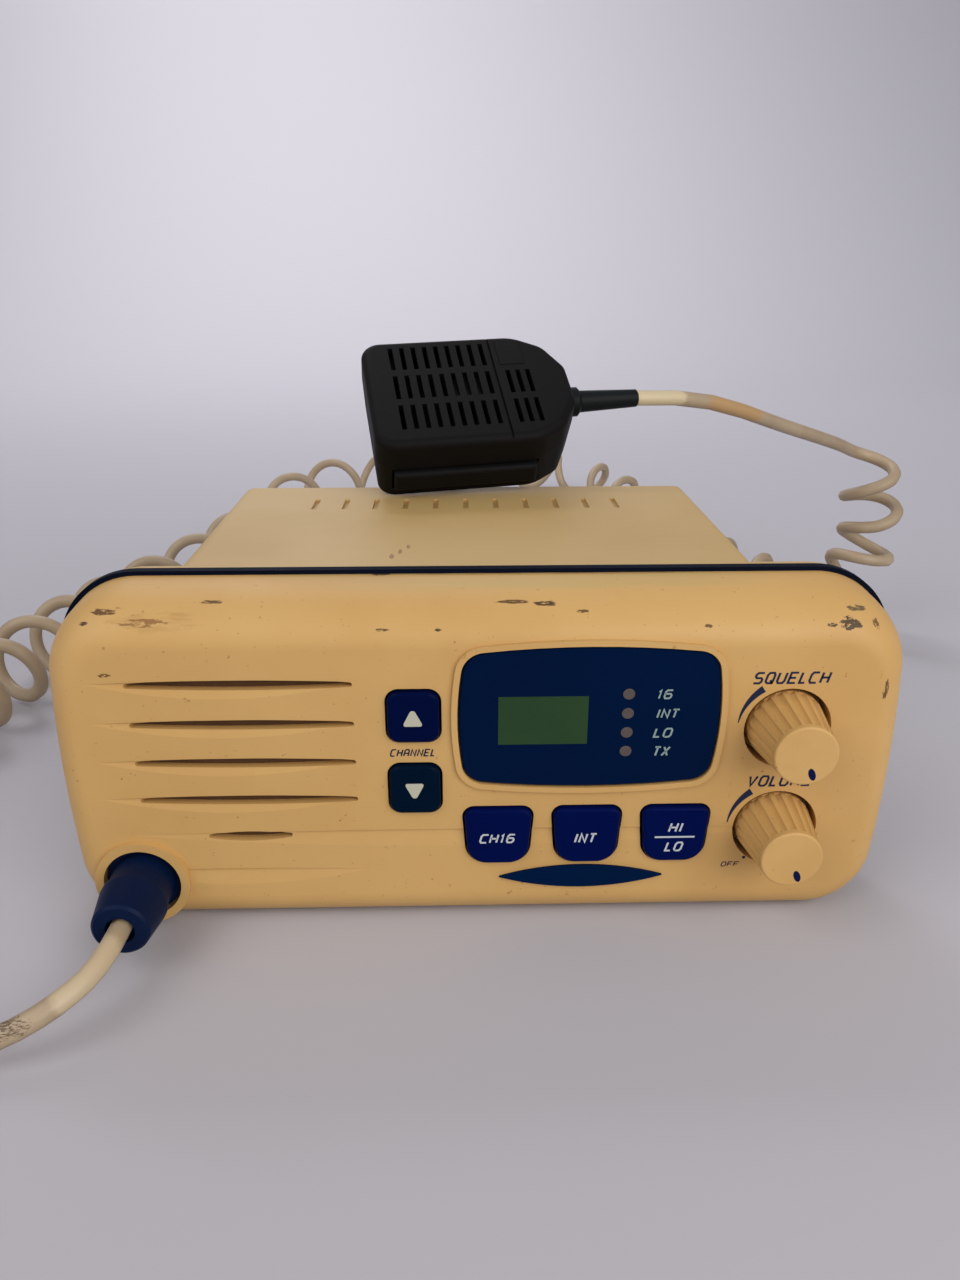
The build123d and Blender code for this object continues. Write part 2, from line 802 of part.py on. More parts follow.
def bracket_inserts():
    made = []
    for side in (-1, 1):
        insert = side_rod(insert_radius, side, insert_length)
        made.append(insert - side_rod(insert_bore, side, 2 * insert_length))
    return Part() + made


# The microphone's outline, drawn in by inset
def mic_outline(inset=0.0):
    low = (mic_width - mic_nose_width) / 2
    near = [(0, 0), (mic_shoulder, 0), (mic_cheek_x, mic_cheek_y), (mic_length, low)]
    far = [(x, mic_width - y) for x, y in reversed(near)]
    face = make_face(Polyline(*near, *far, close=True))
    for place, radius in [(0, mic_corner_round), (mic_shoulder, mic_shoulder_round),
                          (mic_cheek_x, mic_cheek_round), (mic_length, mic_nose_round)]:
        corners = [corner for corner in face.vertices() if abs(corner.X - place) < 0.01]
        face = fillet(corners, radius)
    return offset(face, -inset) if inset else face


def mic_layer(inset, low, high):
    return Pos(0, 0, low) * extrude(mic_outline(inset), amount=high - low)


def lengthwise(radius, start, end):
    place = Pos(start, mic_width / 2, mic_split) * Rot(0, 90, 0)
    return place * Cylinder(radius, end - start, align=(Align.CENTER, Align.CENTER, Align.MIN))


def mic_slots():
    low = mic_thickness - mic_wall - 1
    step = grille_segment + grille_gap
    columns = [(grille_left + i * grille_pitch, grille_rows) for i in range(grille_columns)]
    for i in range(side_grille_columns):
        columns.append((side_grille_left + i * side_grille_pitch, grille_rows - 1))
    slots = []
    for x, rows in columns:
        for row in range(rows):
            y = grille_low + row * step
            slots.append(block(x, x + grille_slot, y, y + grille_segment, low, mic_thickness + 1))
    return slots


def mic_panel(gap=0.0):
    low = grille_low + (grille_rows - 1) * (grille_segment + grille_gap)
    left = side_grille_left - 1
    return block(left - gap, left + panel_width + gap, low - gap, low + panel_height + gap,
                 mic_thickness - panel_thickness, mic_thickness + 0.1 + gap)


def mic_front_shell():
    shell = mic_layer(0, mic_split, mic_thickness)
    shell = fillet(shell.faces().sort_by(Axis.Z)[-1].edges(), mic_edge)
    shell -= mic_layer(mic_wall, mic_split - 1, mic_thickness - mic_wall)
    for x, y in mic_screw_places:
        shell += upright(mic_boss, mic_split, mic_thickness - mic_wall / 2, x, y)
        shell -= upright(mic_screw + press_gap, mic_split - 1, mic_split + 4, x, y)
    shell -= mic_slots()
    shell -= mic_panel(0.1)
    shell -= block(split_line_x, split_line_x + split_line_width, -1, mic_width + 1,
                   mic_thickness - split_line_depth, mic_thickness + 1)
    return shell - lengthwise(relief_neck + seat_gap, mic_length - relief_seat, mic_length + 1)


def mic_rear_shell():
    shell = loft([mic_outline(mic_back_inset), Pos(0, 0, mic_split) * mic_outline()])
    shell -= loft([Pos(0, 0, mic_wall) * mic_outline(mic_back_inset + mic_wall - 0.5),
                   Pos(0, 0, mic_split + 0.01) * mic_outline(mic_wall)])
    for x, y in mic_screw_places:
        shell += upright(mic_boss, mic_wall / 2, mic_split, x, y)
        shell -= upright(mic_screw + 0.2, -1, mic_split + 1, x, y)
        shell -= upright(mic_screw_head + 0.2, -1, mic_screw_sink, x, y)
    for x, y in mic_board_posts:
        shell += upright(2.0, mic_wall / 2, mic_board_z, x, y)
    shell -= ptt_shape(moving_gap, -5, ptt_flange_y)
    stud_x, stud_y = stud_place
    shell -= upright(stud_neck + press_gap, -1, mic_wall + 1, stud_x, stud_y)
    return shell - lengthwise(relief_neck + seat_gap, mic_length - relief_seat, mic_length + 1)


def ptt_shape(gap, front, back):
    return block(ptt_left - gap, ptt_left + ptt_length + gap, front, back,
                 ptt_low - gap, ptt_low + ptt_height + gap)


def ptt_bar():
    bar = ptt_shape(0, -ptt_proud, ptt_flange_y)
    bar = fillet(bar.faces().sort_by(Axis.Y)[0].edges(), 1.4)
    bar += block(ptt_left - 1.5, ptt_left + ptt_length + 1.5, ptt_flange_y, ptt_flange_y + ptt_flange,
                 ptt_low, ptt_low + ptt_height)
    middle = ptt_left + ptt_length / 2
    stem_end = ptt_switch_y - ptt_travel - seat_gap
    return bar + block(middle - ptt_stem / 2, middle + ptt_stem / 2, ptt_flange_y, stem_end,
                       ptt_low + 1.2, ptt_low + ptt_height - 2.4)


def ptt_switch():
    middle = ptt_left + ptt_length / 2
    return block(middle - 4, middle + 4, ptt_switch_y, ptt_switch_y + 4, mic_board_z - 3.6, mic_board_z)


def mic_board():
    left, right = mic_board_span
    low = ptt_switch_y + 0.5
    plate = block(left, right, low, mic_width - 5, mic_board_z, mic_board_z + mic_board_thickness)
    return plate


def mic_capsule():
    x, y = capsule_place
    top = mic_thickness - mic_wall - seat_gap
    return upright(capsule_radius, top - capsule_height, top, x, y)


def capsule_sleeve():
    x, y = capsule_place
    low = mic_board_z + mic_board_thickness
    top = mic_thickness - mic_wall - seat_gap
    sleeve = upright(capsule_radius + 1.4, low, top, x, y)
    return sleeve - upright(capsule_radius + press_gap, top - capsule_height, top + 1, x, y)


def mic_screws():
    made = []
    for x, y in mic_screw_places:
        screw = upright(mic_screw_head, mic_screw_sink - 1.0, mic_screw_sink, x, y)
        made.append(screw + upright(mic_screw, mic_screw_sink, mic_split + 3.5, x, y))
    return Part() + made


def hang_stud():
    x, y = stud_place
    stud = upright(stud_neck, -stud_height, mic_wall, x, y)
    stud += upright(stud_radius, -stud_height - stud_head, -stud_height, x, y)
    return fillet(stud.edges().group_by(Axis.Z)[0], 0.8)


def mic_strain_relief():
    start = mic_length + seat_gap
    end = mic_length + relief_length
    profile = [(0, start - 4), (relief_neck, start - 4), (relief_neck, start), (relief_base, start),
               (relief_base, start + 2.6), (relief_root, start + 3.6), (relief_tip, end), (0, end)]
    sleeve = Rot(0, 0, -90) * turned(profile)
    return Pos(0, mic_width / 2, mic_split) * sleeve


# Where the microphone lies: on the case's rear top edge, turned and leaning back.
mic_lean = Rot(0, 0, mic_yaw) * Rot(mic_tilt, 0, 0) * Rot(0, -mic_roll, 0)


def mic_location():
    lowest = (mic_lean * mic_rear_shell()).bounding_box().min.Z
    return Pos(mic_x, mic_y, case_top + seat_gap - lowest) * mic_lean


# A path of straight runs joined by arcs, each as large as its two runs allow.
def smooth_path(points):
    radii = []
    for a, b, c in zip(points, points[1:], points[2:]):
        before = Vector(*b) - Vector(*a)
        after = Vector(*c) - Vector(*b)
        half_turn = math.radians(before.get_angle(after)) / 2
        radii.append(0.45 * min(before.length, after.length) / math.tan(half_turn))
    return FilletPolyline(*points, radius=radii), radii


def tube(name, points, diameter):
    path, radii = smooth_path(points)
    body = sweep(Plane(path @ 0, z_dir=path % 0) * Circle(diameter / 2), path=path)
    section = math.pi * diameter**2 / 4
    print(f"{name}: length {path.length:.1f}, smallest radius {min(radii):.1f},"
          f" volume over section times length {body.volume / section / path.length:.4f}")
    return body


# Routes of the cord's three stretches, from the radio to the microphone.
front_lead_route = [
    (outlet_x, boot_mouth_depth - boot_reach - 0.1, outlet_z), (-77.6, -27, 12.3), (-82.5, -35.5, 10.6),
    (-92, -41.5, 7.2), (-107, -44.5, 3.8), (-124, -43.5, 2.5), (-144, -36, 2.5), (-161, -18, 2.5),
    (-171, 7, 6), (-170, 32, 12.6), (-167, 54, 12.6),
]
coil_route = [
    (-167, 54, 12.6), (-162, 90, 12.6), (-155, 128, 12.6), (-150, 160, 12.6), (-144, 194, 12.6),
    (-137, 226, 12.6), (-128, 262, 12.6), (-121, 300, 12.6), (-115, 345, 12.6), (-100, 390, 12.6),
    (-74, 422, 12.6), (-38, 438, 12.6), (10, 442, 12.6), (50, 436, 12.6), (78, 414, 12.6),
    (92, 376, 12.6), (98, 330, 12.6), (106, 280, 12.6), (117, 232, 12.6), (134, 197, 12.6),
    (149, 186, 16), (160, 186, 28), (162, 190.5, 40), (161, 190, 50),
]
mic_lead_route = [
    (161, 190, 50), (159, 188, 71.5), (139.5, 171, 80), (110, 152, 91.5), (70.7, 120.8, 105.1),
    (51.1, 117.6, 104.4),
]


def radio_nodes():
    nodes = {"front_bezel": front_bezel(), "bezel_gasket": bezel_gasket(), "rear_case": rear_case()}
    nodes["display_lens"] = display_lens()
    nodes["lcd_module"] = lcd_module()
    nodes["lcd_holder"] = lcd_holder()
    nodes["led_indicators"] = led_indicators()
    nodes["keypad_mat"] = keypad_mat()
    nodes["front_board"] = front_board()
    nodes["oval_badge"] = oval_badge()
    nodes["cord_boot"] = cord_boot()
    for name, (x, z, sketch) in keys.items():
        nodes[name] = key_cap(x, z, sketch)
    for name, (x, z) in knobs.items():
        nodes[name + "_knob"] = knob(x, z)
        nodes[name + "_pointer"] = pointer_inlay(x, z)
        nodes[name + "_shaft"] = pot_shaft(x, z)
        nodes[name + "_pot"] = pot_body(x, z)
    nodes.update(speaker_nodes())
    nodes["main_board"] = main_board()
    nodes["shield_can"] = shield_can()
    nodes["power_module"] = power_module()
    nodes["board_screws"] = board_screws()
    nodes["heat_sink"] = heat_sink()
    nodes["heat_sink_screws"] = screws(sink_screws, case_back, screw_length + sink_plate - 1)
    reach = flange_back - housing_depth + screw_length - 1
    nodes["housing_screws"] = screws(housing_screws, flange_back, reach)
    nodes["antenna_socket"] = antenna_socket()
    nodes["antenna_contact"] = antenna_contact()
    nodes["power_grommet"] = power_grommet()
    nodes["speaker_jack"] = speaker_jack()
    nodes["bracket_inserts"] = bracket_inserts()
    return nodes


def mic_nodes():
    place = mic_location()
    made = {
        "mic_front_shell": mic_front_shell(), "mic_rear_shell": mic_rear_shell(), "mic_panel": mic_panel(),
        "ptt_bar": ptt_bar(), "ptt_switch": ptt_switch(), "mic_board": mic_board(),
        "mic_capsule": mic_capsule(), "capsule_sleeve": capsule_sleeve(), "mic_screws": mic_screws(),
        "hang_stud": hang_stud(), "mic_strain_relief": mic_strain_relief(),
    }
    return {name: place * solid for name, solid in made.items()}


nodes = radio_nodes() | mic_nodes()
boxes = [solid.bounding_box() for solid in nodes.values()]
front = min(box.min.Y for box in boxes)
rear = max(box.max.Y for box in boxes)
nodes["cord_front_lead"] = tube("front lead", front_lead_route, cord_diameter)
nodes["cord_coil"] = tube("coil", coil_route, coil_diameter)
nodes["cord_mic_lead"] = tube("microphone lead", mic_lead_route, cord_diameter)

# The origin stands under the middle of the radio and its microphone.
origin = Pos(0, -(front + rear) / 2, 0)
os.makedirs("parts", exist_ok=True)
for name, solid in nodes.items():
    export_step(origin * solid, f"parts/{name}.step")
print(f"{len(nodes)} nodes, face plane at Y {-(front + rear) / 2:.3f}")
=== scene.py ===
import math

import bpy
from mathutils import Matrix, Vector
from mathutils.bvhtree import BVHTree


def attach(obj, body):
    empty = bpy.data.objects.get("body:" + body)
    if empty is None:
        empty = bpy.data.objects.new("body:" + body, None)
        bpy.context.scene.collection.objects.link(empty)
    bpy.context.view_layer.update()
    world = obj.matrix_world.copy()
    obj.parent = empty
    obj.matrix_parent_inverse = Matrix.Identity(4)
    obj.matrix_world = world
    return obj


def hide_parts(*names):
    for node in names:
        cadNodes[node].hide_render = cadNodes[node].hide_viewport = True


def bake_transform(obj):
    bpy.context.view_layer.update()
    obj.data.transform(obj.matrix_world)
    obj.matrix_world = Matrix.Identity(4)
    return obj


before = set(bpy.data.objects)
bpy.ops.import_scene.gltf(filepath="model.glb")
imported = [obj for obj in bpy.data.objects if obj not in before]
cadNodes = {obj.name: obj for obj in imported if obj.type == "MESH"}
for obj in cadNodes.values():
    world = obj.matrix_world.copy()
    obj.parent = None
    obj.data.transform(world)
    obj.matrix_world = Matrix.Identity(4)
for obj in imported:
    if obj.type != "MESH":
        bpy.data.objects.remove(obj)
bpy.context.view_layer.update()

# Sizes are in millimetres: x to the right, y back from the plane of the face, z up from the floor.
millimetre = 0.001
facePlane = -59.118


# A place on the radio, in metres of the shared frame
def at(x, y, z):
    return Vector((x, y + facePlane, z)) * millimetre


# Screen colours of 0 to 255 become the linear ones that sockets take.
def paint(red, green, blue):
    made = []
    for value in (red, green, blue):
        share = value / 255
        made.append(share / 12.92 if share <= 0.04045 else ((share + 0.055) / 1.055) ** 2.4)
    return (*made, 1.0)


def activate(thing):
    for other in list(bpy.context.selected_objects):
        other.select_set(False)
    thing.select_set(True)
    bpy.context.view_layer.objects.active = thing


def toMesh(thing):
    activate(thing)
    bpy.ops.object.convert(target="MESH")
    return bpy.context.view_layer.objects.active


# Camera
cameraFacts = {
    "place": (-4.6, -185.9, 147.3),
    "aim": (0.02231, 0.92600, -0.37687),
    "lens": 27.03,
    "sensor": 36.0,
    "clipStart": 0.01,
}
cameraData = bpy.data.cameras.new("mainCamera")
cameraData.sensor_fit = "VERTICAL"
cameraData.sensor_height = cameraFacts["sensor"]
cameraData.lens = cameraFacts["lens"]
cameraData.clip_start = cameraFacts["clipStart"]
camera = bpy.data.objects.new("mainCamera", cameraData)
bpy.context.scene.collection.objects.link(camera)
camera.location = at(*cameraFacts["place"])
camera.rotation_euler = Vector(cameraFacts["aim"]).to_track_quat("-Z", "Y").to_euler()
bpy.context.scene.camera = camera
print("camera placed")

# Cord: the leads keep to the part's routes, and the coil's line is given near its tube.
frontLeadRoute = [
    (-77.4, -15.4, 12.6), (-77.6, -27, 12.3), (-82.5, -35.5, 10.6),
    (-92, -41.5, 7.2), (-107, -44.5, 3.8), (-124, -43.5, 2.5), (-144, -36, 2.5), (-161, -18, 2.5),
    (-171, 7, 6), (-170, 32, 12.6), (-167, 54, 12.6),
]
coilRoute = [
    (-167, 54, 15), (-162, 90, 15.2), (-155, 128, 15.2), (-148, 160, 15), (-138, 194, 14.6),
    (-129, 226, 14.2), (-120, 262, 13.8), (-113, 300, 13.4), (-109, 345, 12.8), (-98, 388, 13.4),
    (-74, 420, 13.6), (-38, 437, 13.6), (10, 442, 13.6), (50, 436, 13.2), (78, 414, 12.8),
    (92, 376, 12.6), (98, 330, 12.6), (106, 280, 12.6), (117, 232, 12.6), (134, 197, 12.6),
    (148, 186, 16), (159.5, 186, 28), (163.3, 190.5, 40), (162.8, 190.5, 50), (160.6, 190.5, 58),
    (160, 190.5, 66), (159.5, 190.5, 73.5),
]
micLeadRoute = [
    (144, 184, 77), (128, 168, 83.2), (110, 152, 89.8), (70.7, 120.8, 105.1), (51.1, 117.6, 104.4),
]
cordFacts = {
    "diameter": 4.7,
    "pointsPerTurn": 14,
    "leadIn": 24.0,  # the coil opens over this length
    "topAzimuth": 133.0,  # where the last turn points
    "stretchStart": 26.0,  # two heights on the cord, the lower first
    "stretchEnd": 100.0,  # and goes with the microphone from this one up
    "guideSteps": 24,
    "cordSteps": 3,
    "roundSteps": 2,
    # Shares of the coil's route, with the pitch and the radius there
    "pitches": [(0.0, 24.0), (0.04, 20.0), (0.12, 23.0), (0.2, 37.0), (0.27, 45.0), (0.36, 45.0),
                (0.45, 39.0), (0.6, 37.0), (0.78, 34.0), (0.9, 25.0), (0.955, 16.5), (0.985, 15.5),
                (1.0, 24.0)],
    "radii": [(0.0, 11.6), (0.1, 11.6), (0.2, 10.15), (0.35, 10.15), (0.4, 11.0), (0.5, 11.0),
              (0.7, 10.15), (0.965, 10.15), (1.0, 8.6)],
}


def splineCurve(name, points, resolution):
    curve = bpy.data.curves.new(name, "CURVE")
    curve.dimensions = "3D"
    curve.resolution_u = resolution
    spline = curve.splines.new("NURBS")
    spline.points.add(len(points) - 1)
    for slot, point in zip(spline.points, points):
        slot.co = (*point, 1.0)
    spline.order_u = 3
    spline.use_endpoint_u = True
    thing = bpy.data.objects.new(name, curve)
    bpy.context.scene.collection.objects.link(thing)
    return thing


def readLine(thing):
    bpy.context.view_layer.update()
    mesh = bpy.data.meshes.new_from_object(thing)
    line = [vertex.co.copy() for vertex in mesh.vertices]
    bpy.data.meshes.remove(mesh)
    return line


def lineLength(line):
    return sum((b - a).length for a, b in zip(line, line[1:]))


# Steps hold pairs of a share and a value, with straight lines between them.
def alongRoute(steps, share):
    for (start, low), (end, high) in zip(steps, steps[1:]):
        if share <= end:
            return low + (high - low) * (share - start) / (end - start)
    return steps[-1][1]


# The middle line's places at every step of the winding, with the angle wound and a direction carried along
def coilStations():
    guide = splineCurve("coilGuide", [at(*p) for p in coilRoute], cordFacts["guideSteps"])
    middle = readLine(guide)
    bpy.data.objects.remove(guide)
    total = lineLength(middle)
    shortest = 1e-9
    step = 2 * math.pi / cordFacts["pointsPerTurn"]
    normal = Vector((0, 0, -1))
    wound = travelled = wanted = 0.0
    stations = []
    for a, b in zip(middle, middle[1:]):
        along = b - a
        length = along.length
        if length < shortest:
            continue
        along.normalize()
        normal = (normal - along * normal.dot(along)).normalized()
        while wanted <= travelled + length:
            place = a + along * (wanted - travelled)
            radius = alongRoute(cordFacts["radii"], wanted / total) * millimetre
            opened = min(1.0, wanted / (cordFacts["leadIn"] * millimetre))
            reach = radius * opened * opened * (3 - 2 * opened)
            stations.append((place, normal, along.cross(normal), wound, reach))
            wound += step
            pitch = alongRoute(cordFacts["pitches"], wanted / total) * millimetre
            wanted += pitch / cordFacts["pointsPerTurn"]
        travelled += length
    return stations


# The coil opens over a lead-in at its start, and its last turn leaves sideways at its top.
def coilPoints():
    stations = coilStations()
    _, normal, side, wound, _ = stations[-1]
    top = math.radians(cordFacts["topAzimuth"])
    aim = Vector((math.cos(top), math.sin(top), 0))
    phase = math.atan2(aim.dot(side), aim.dot(normal)) - wound
    points = []
    for place, normal, side, wound, radius in stations:
        reach = radius / math.cos(math.pi / cordFacts["pointsPerTurn"])
        angle = wound + phase
        points.append(place + (normal * math.cos(angle) + side * math.sin(angle)) * reach)
    return points


cordPoints = [at(*p) for p in frontLeadRoute[:-1]] + coilPoints() + [at(*p) for p in micLeadRoute]
cordLine = splineCurve("curlyCord", cordPoints, cordFacts["cordSteps"])
cordPath = readLine(cordLine)
cordLine.data.bevel_depth = cordFacts["diameter"] / 2 * millimetre
cordLine.data.bevel_resolution = cordFacts["roundSteps"]
cordLine.data.use_fill_caps = True
curlyCord = toMesh(cordLine)
# The jacket's pattern follows the cord as it lies at rest.
restPlace = curlyCord.data.attributes.new("restPlace", "FLOAT_VECTOR", "POINT")
for vertex in curlyCord.data.vertices:
    restPlace.data[vertex.index].vector = vertex.co
for face in curlyCord.data.polygons:
    face.use_smooth = len(face.vertices) == 4  # the caps stay flat
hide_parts("cord_front_lead", "cord_coil", "cord_mic_lead")
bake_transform(curlyCord)


# Material parts
def newGroup(name, inputs, outputs):
    group = bpy.data.node_groups.new(name, "ShaderNodeTree")
    for label, kind, value in inputs:
        socket = group.interface.new_socket(name=label, in_out="INPUT", socket_type=kind)
        socket.default_value = value
    for label, kind in outputs:
        group.interface.new_socket(name=label, in_out="OUTPUT", socket_type=kind)
    return group, group.nodes.new("NodeGroupInput"), group.nodes.new("NodeGroupOutput")


def addNode(tree, kind, settings=None, values=None):
    node = tree.nodes.new(kind)
    for key, value in (settings or {}).items():
        setattr(node, key, value)
    for key, value in (values or {}).items():
        node.inputs[key].default_value = value
    return node


def mathNode(tree, operation, first, second=None, clamp=False):
    node = addNode(tree, "ShaderNodeMath", {"operation": operation, "use_clamp": clamp})
    for index, value in enumerate((first, second)):
        if value is None:
            continue
        if isinstance(value, (int, float)):
            node.inputs[index].default_value = value
        else:
            tree.links.new(value, node.inputs[index])
    return node.outputs[0]


# The Mix node's colour sockets are inputs 6 and 7 and output 2.
def mixColour(tree, factor, first, second):
    node = addNode(tree, "ShaderNodeMix", {"data_type": "RGBA"})
    for socket, value in ((node.inputs[0], factor), (node.inputs[6], first), (node.inputs[7], second)):
        if isinstance(value, (int, float, tuple)):
            socket.default_value = value
        else:
            tree.links.new(value, socket)
    return node.outputs[2]


def rangeNode(tree, value, low, high, toLow=0.0, toHigh=1.0):
    node = addNode(tree, "ShaderNodeMapRange", {"interpolation_type": "SMOOTHSTEP"},
                   {"From Min": low, "From Max": high, "To Min": toLow, "To Max": toHigh})
    tree.links.new(value, node.inputs["Value"])
    return node.outputs["Result"]


surfaceFacts = {
    "patchDetail": 4.0, "patchRoughness": 0.55, "patchLow": 0.35, "patchHigh": 0.7,
    "grainDetail": 2.0, "grainRoughness": 0.5,
}


# Moulded surface: drifting tint, fine grain and uneven gloss
def makeSurfaceGroup():
    group, entry, leave = newGroup(
        "mouldedSurface",
        [("Vector", "NodeSocketVector", (0, 0, 0)), ("Colour", "NodeSocketColor", (0.5, 0.5, 0.5, 1)),
         ("Tint", "NodeSocketColor", (0.4, 0.4, 0.4, 1)), ("Tint Amount", "NodeSocketFloat", 0.3),
         ("Patch Scale", "NodeSocketFloat", 20.0), ("Grain Scale", "NodeSocketFloat", 1500.0),
         ("Roughness", "NodeSocketFloat", 0.45), ("Roughness Spread", "NodeSocketFloat", 0.12)],
        [("Colour", "NodeSocketColor"), ("Roughness", "NodeSocketFloat"), ("Height", "NodeSocketFloat")])
    links = group.links
    patch = addNode(group, "ShaderNodeTexNoise", values={
        "Detail": surfaceFacts["patchDetail"], "Roughness": surfaceFacts["patchRoughness"]})
    links.new(entry.outputs["Vector"], patch.inputs["Vector"])
    links.new(entry.outputs["Patch Scale"], patch.inputs["Scale"])
    grain = addNode(group, "ShaderNodeTexNoise", values={
        "Detail": surfaceFacts["grainDetail"], "Roughness": surfaceFacts["grainRoughness"]})
    links.new(entry.outputs["Vector"], grain.inputs["Vector"])
    links.new(entry.outputs["Grain Scale"], grain.inputs["Scale"])
    patchMask = rangeNode(group, patch.outputs["Fac"], surfaceFacts["patchLow"], surfaceFacts["patchHigh"])
    amount = mathNode(group, "MULTIPLY", patchMask, entry.outputs["Tint Amount"])
    colour = mixColour(group, amount, entry.outputs["Colour"], entry.outputs["Tint"])
    links.new(colour, leave.inputs["Colour"])
    drift = mathNode(group, "MULTIPLY", mathNode(group, "SUBTRACT", patch.outputs["Fac"], 0.5),
                     entry.outputs["Roughness Spread"])
    links.new(mathNode(group, "ADD", entry.outputs["Roughness"], drift, True), leave.inputs["Roughness"])
    links.new(grain.outputs["Fac"], leave.inputs["Height"])
    return group


scuffAndShadeFacts = {
    "core": 0.3,  # share of the oval that has the full cover
    "detail": 5.0, "roughness": 0.72,
    "shift": 977,  # gives each patch its own part of the noise
}


# Scuffs, dirt and painted shade inside an oval round a place, broken up by noise that is stretched as the
# oval is
def makeScuffAndShadeGroup():
    group, entry, leave = newGroup(
        "scuffAndShadePatch",
        [("Vector", "NodeSocketVector", (0, 0, 0)), ("Place", "NodeSocketVector", (0, 0, 0)),
         ("Spread", "NodeSocketVector", (0.01, 0.01, 0.01)), ("Break Scale", "NodeSocketFloat", 2.5),
         ("Cover", "NodeSocketFloat", 0.5), ("Softness", "NodeSocketFloat", 0.03)],
        [("Mask", "NodeSocketFloat")])
    links = group.links
    offset = addNode(group, "ShaderNodeVectorMath", {"operation": "SUBTRACT"})
    links.new(entry.outputs["Vector"], offset.inputs[0])
    links.new(entry.outputs["Place"], offset.inputs[1])
    scaled = addNode(group, "ShaderNodeVectorMath", {"operation": "DIVIDE"})
    links.new(offset.outputs[0], scaled.inputs[0])
    links.new(entry.outputs["Spread"], scaled.inputs[1])
    length = addNode(group, "ShaderNodeVectorMath", {"operation": "LENGTH"})
    links.new(scaled.outputs[0], length.inputs[0])
    near = rangeNode(group, length.outputs["Value"], scuffAndShadeFacts["core"], 1.0, 1.0, 0.0)
    moved = addNode(group, "ShaderNodeVectorMath", {"operation": "MULTIPLY_ADD"})
    moved.inputs[1].default_value = (scuffAndShadeFacts["shift"],) * 3
    links.new(entry.outputs["Place"], moved.inputs[0])
    links.new(scaled.outputs[0], moved.inputs[2])
    broken = addNode(group, "ShaderNodeTexNoise", values={
        "Detail": scuffAndShadeFacts["detail"], "Roughness": scuffAndShadeFacts["roughness"]})
    links.new(moved.outputs[0], broken.inputs["Vector"])
    links.new(entry.outputs["Break Scale"], broken.inputs["Scale"])
    level = mathNode(group, "SUBTRACT", 1.0, mathNode(group, "MULTIPLY", near, entry.outputs["Cover"]))
    over = mathNode(group, "SUBTRACT", broken.outputs["Fac"], level)
    links.new(rangeNode(group, mathNode(group, "DIVIDE", over, entry.outputs["Softness"]), 0, 1),
              leave.inputs["Mask"])
    return group


surfaceGroup = makeSurfaceGroup()
scuffAndShadeGroup = makeScuffAndShadeGroup()
finishDefaults = {
    "tintAmount": 0.4, "patch": 25.0, "grain": 1500.0, "bump": 0.3, "bumpDepth": 0.00006,
    "roughness": 0.45, "spread": 0.2, "metallic": 0.0, "specular": 0.5, "attribute": None,
}
speckFacts = {"detail": 3.0, "roughness": 0.7, "edge": 0.03}


class Finish:
    def __init__(self, name, facts):
        facts = {**finishDefaults, **facts}
        self.material = bpy.data.materials.new(name)
        self.material.use_nodes = True
        self.tree = self.material.node_tree
        self.shader = self.tree.nodes["Principled BSDF"]
        if facts["attribute"]:
            held = addNode(self.tree, "ShaderNodeAttribute", {"attribute_name": facts["attribute"]})
            self.place = held.outputs["Vector"]
        else:
            self.place = addNode(self.tree, "ShaderNodeTexCoord").outputs["Object"]
        surface = addNode(self.tree, "ShaderNodeGroup", {"node_tree": surfaceGroup}, {
            "Colour": facts["colour"], "Tint": facts["tint"], "Tint Amount": facts["tintAmount"],
            "Patch Scale": facts["patch"], "Grain Scale": facts["grain"],
            "Roughness": facts["roughness"], "Roughness Spread": facts["spread"]})
        self.tree.links.new(self.place, surface.inputs["Vector"])
        self.colour = surface.outputs["Colour"]
        self.shader.inputs["Metallic"].default_value = facts["metallic"]
        self.shader.inputs["Specular IOR Level"].default_value = facts["specular"]
        bump = addNode(self.tree, "ShaderNodeBump", values={
            "Strength": facts["bump"], "Distance": facts["bumpDepth"]})
        self.tree.links.new(surface.outputs["Height"], bump.inputs["Height"])
        self.tree.links.new(surface.outputs["Roughness"], self.shader.inputs["Roughness"])
        self.tree.links.new(bump.outputs["Normal"], self.shader.inputs["Normal"])

    def scuffAndShade(self, place, reach, breakScale, cover, colour, strength=0.9, soft=0.03):
        held = addNode(self.tree, "ShaderNodeGroup", {"node_tree": scuffAndShadeGroup}, {
            "Place": at(*place), "Spread": Vector(reach) * millimetre, "Break Scale": breakScale,
            "Cover": cover, "Softness": soft})
        self.tree.links.new(self.place, held.inputs["Vector"])
        factor = mathNode(self.tree, "MULTIPLY", held.outputs["Mask"], strength)
        self.colour = mixColour(self.tree, factor, self.colour, paint(*colour))

    # Small marks scattered all over
    def specks(self, scale, threshold, colour, strength=0.7):
        cells = addNode(self.tree, "ShaderNodeTexNoise", values={
            "Scale": scale, "Detail": speckFacts["detail"], "Roughness": speckFacts["roughness"]})
        self.tree.links.new(self.place, cells.inputs["Vector"])
        mask = rangeNode(self.tree, cells.outputs["Fac"], threshold, threshold + speckFacts["edge"])
        factor = mathNode(self.tree, "MULTIPLY", mask, strength)
        self.colour = mixColour(self.tree, factor, self.colour, paint(*colour))

    def done(self):
        self.tree.links.new(self.colour, self.shader.inputs["Base Color"])
        return self.material


def finishOf(name, colour, tint, **facts):
    return Finish(name, {"colour": paint(*colour), "tint": paint(*tint), **facts})


def dress(material, *names):
    for name in names:
        mesh = cadNodes[name].data
        if not mesh.materials:
            mesh.materials.append(material)
        for slot in cadNodes[name].material_slots:
            slot.material = material
